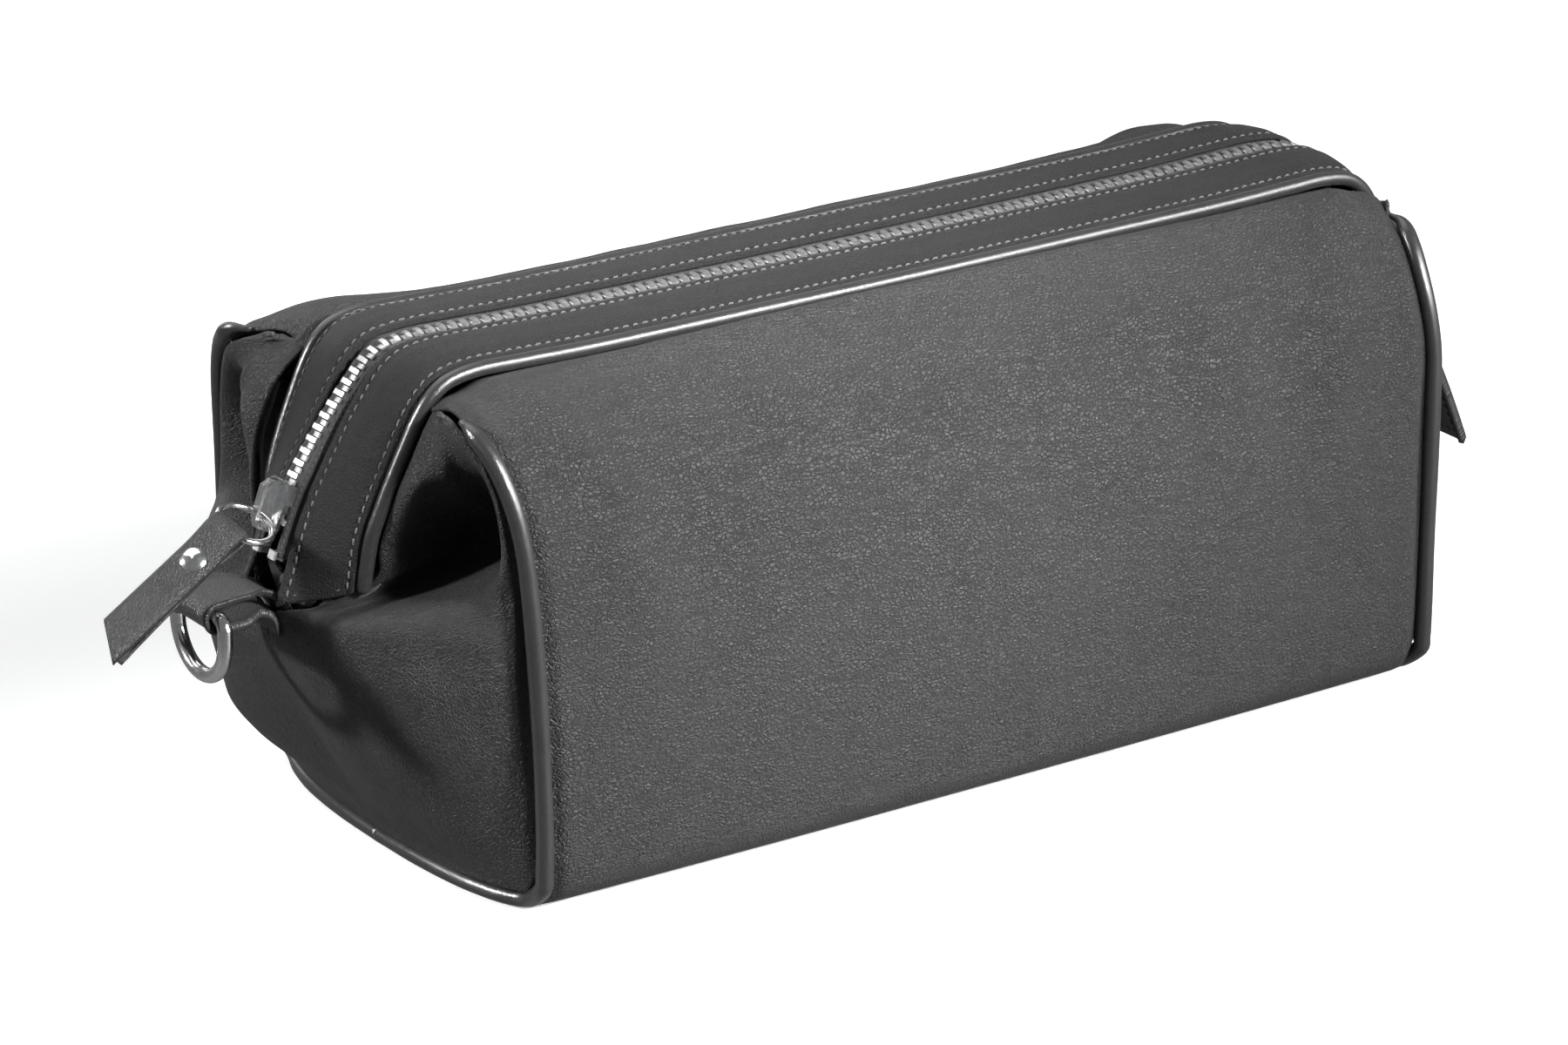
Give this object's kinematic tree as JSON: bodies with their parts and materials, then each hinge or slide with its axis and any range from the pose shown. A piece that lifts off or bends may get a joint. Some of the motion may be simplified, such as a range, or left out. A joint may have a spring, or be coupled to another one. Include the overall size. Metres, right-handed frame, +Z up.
{
  "type": "framed toiletry bag",
  "caption": "Framed leather wash bag with a long zip across the top, hinged steel mouth frames, folded ends, a ring pull and a D-ring on one end.",
  "frame": {"origin": "centre of the underside, on the floor plane", "axes": "+X along the bag's length towards the zipper's far end, +Y towards the rear, +Z up"},
  "size_m": [0.3513, 0.1158, 0.1108],
  "materials": {
    "leather": "soft fine-grain leather, satin",
    "piping": "smooth leather, polished",
    "lining": "woven lining",
    "board": "fibreboard",
    "tape": "woven zipper tape",
    "nickel": "polished nickel plate",
    "steel": "spring steel"
  },
  "bodies": {
    "bag": {"front_panel": "leather", "rear_panel": "leather", "bottom_panel": "leather", "base_board": "board", "bottom_lining": "lining", "left_end_piping": "piping", "right_end_piping": "piping", "left_gusset": "leather", "right_gusset": "leather", "left_hinge_pin": "steel", "right_hinge_pin": "steel", "left_hinge_tab": "leather", "right_hinge_tab": "leather", "bottom_stop": "nickel", "d_ring_strap": "leather", "zipper_end_tab": "leather", "front_lining": "lining", "rear_lining": "lining", "left_end_lining": "lining", "right_end_lining": "lining"},
    "front_frame": {"front_band": "leather", "front_band_piping": "piping", "front_band_facing": "leather", "front_frame_strip": "steel", "front_zipper_tape": "tape", "front_zipper_teeth": "nickel", "front_top_stop": "nickel"},
    "rear_frame": {"rear_band": "leather", "rear_band_piping": "piping", "rear_band_facing": "leather", "rear_frame_strip": "steel", "rear_zipper_tape": "tape", "rear_zipper_teeth": "nickel", "rear_top_stop": "nickel"},
    "slider": {"slider_body": "nickel", "slider_bail": "nickel"},
    "pull_ring": {"pull_ring": "nickel"},
    "puller": {"puller_strap": "leather", "puller_rivet": "nickel"},
    "d_ring": {"d_ring": "nickel"}
  },
  "joints": [
    {"name": "front_frame_hinge", "type": "hinge", "parent": "bag", "child": "front_frame", "pos_m": [0, 0, 0.06], "axis": [1, 0, 0], "range_deg": [0, 40], "deforming": ["front_panel", "front_lining", "left_gusset", "right_gusset", "left_end_lining", "right_end_lining", "left_end_piping", "right_end_piping", "front_zipper_tape", "front_zipper_teeth", "rear_zipper_tape", "rear_zipper_teeth"]},
    {"name": "rear_frame_hinge", "type": "hinge", "parent": "bag", "child": "rear_frame", "pos_m": [0, 0, 0.06], "axis": [-1, 0, 0], "range_deg": [0, 40], "deforming": ["rear_panel", "rear_lining", "left_gusset", "right_gusset", "left_end_lining", "right_end_lining", "left_end_piping", "right_end_piping", "front_zipper_tape", "front_zipper_teeth", "rear_zipper_tape", "rear_zipper_teeth"]},
    {"name": "slider_travel", "type": "hinge", "parent": "front_frame", "child": "slider", "pos_m": [-0.04647, 0, 0.02937], "axis": [0, 1, 0], "range_deg": [0, 18], "deforming": ["front_zipper_tape", "front_zipper_teeth", "rear_zipper_tape", "rear_zipper_teeth"]},
    {"name": "ring_swing", "type": "hinge", "parent": "slider", "child": "pull_ring", "pos_m": [-0.14594, 0, 0.07763], "axis": [0, 1, 0], "range_deg": [0, 40]},
    {"name": "puller_swing", "type": "hinge", "parent": "pull_ring", "child": "puller", "pos_m": [-0.1567, -0.00426, 0.07849], "axis": [-0.2998, 0.8466, 0.4398], "range_deg": [0, 45]},
    {"name": "d_ring_swing", "type": "hinge", "parent": "bag", "child": "d_ring", "pos_m": [-0.161, 0, 0.0615], "axis": [0, 1, 0], "range_deg": [-20, 35]}
  ]
}
